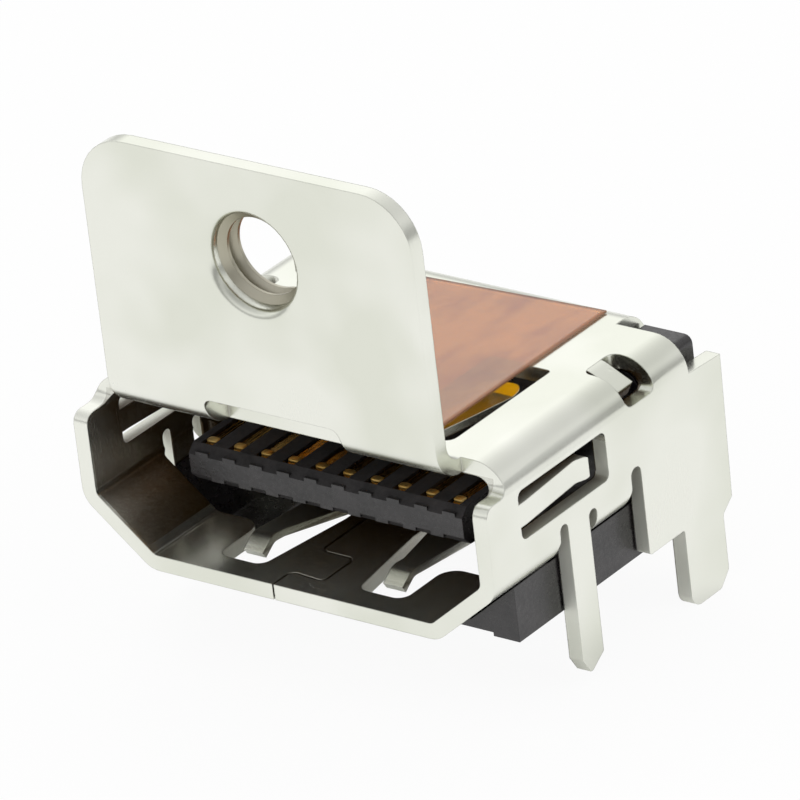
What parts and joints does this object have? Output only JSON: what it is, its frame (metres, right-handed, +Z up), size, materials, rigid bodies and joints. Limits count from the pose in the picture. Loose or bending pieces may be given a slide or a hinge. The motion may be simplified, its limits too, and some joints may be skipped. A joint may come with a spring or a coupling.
{
  "type": "digital video board socket",
  "caption": "Right-angle board socket for a digital video plug: folded metal shell with spring fingers, board legs and an upright screw flange round a moulded tongue of contacts.",
  "frame": {"origin": "on the board's surface under the housing's rear block, on the socket's middle plane, 8 mm behind the mouth's front edge", "axes": "+X to the right seen from the mouth, +Y into the socket and away from the plug, +Z up from the board"},
  "size_m": [0.015, 0.0126, 0.0168],
  "materials": {
    "plated_sheet": "satin nickel plating",
    "moulding": "moulded, fine matt grain",
    "film": "smooth polyimide film",
    "contact_strip": "gold plated"
  },
  "bodies": {
    "root": {"shell": "plated_sheet", "housing": "moulding", "pickup_film": "film", "contact_01": "contact_strip", "contact_02": "contact_strip", "contact_03": "contact_strip", "contact_04": "contact_strip", "contact_05": "contact_strip", "contact_06": "contact_strip", "contact_07": "contact_strip", "contact_08": "contact_strip", "contact_09": "contact_strip", "contact_10": "contact_strip", "contact_11": "contact_strip", "contact_12": "contact_strip", "contact_13": "contact_strip", "contact_14": "contact_strip", "contact_15": "contact_strip", "contact_16": "contact_strip", "contact_17": "contact_strip", "contact_18": "contact_strip", "contact_19": "contact_strip"}
  },
  "joints": []
}
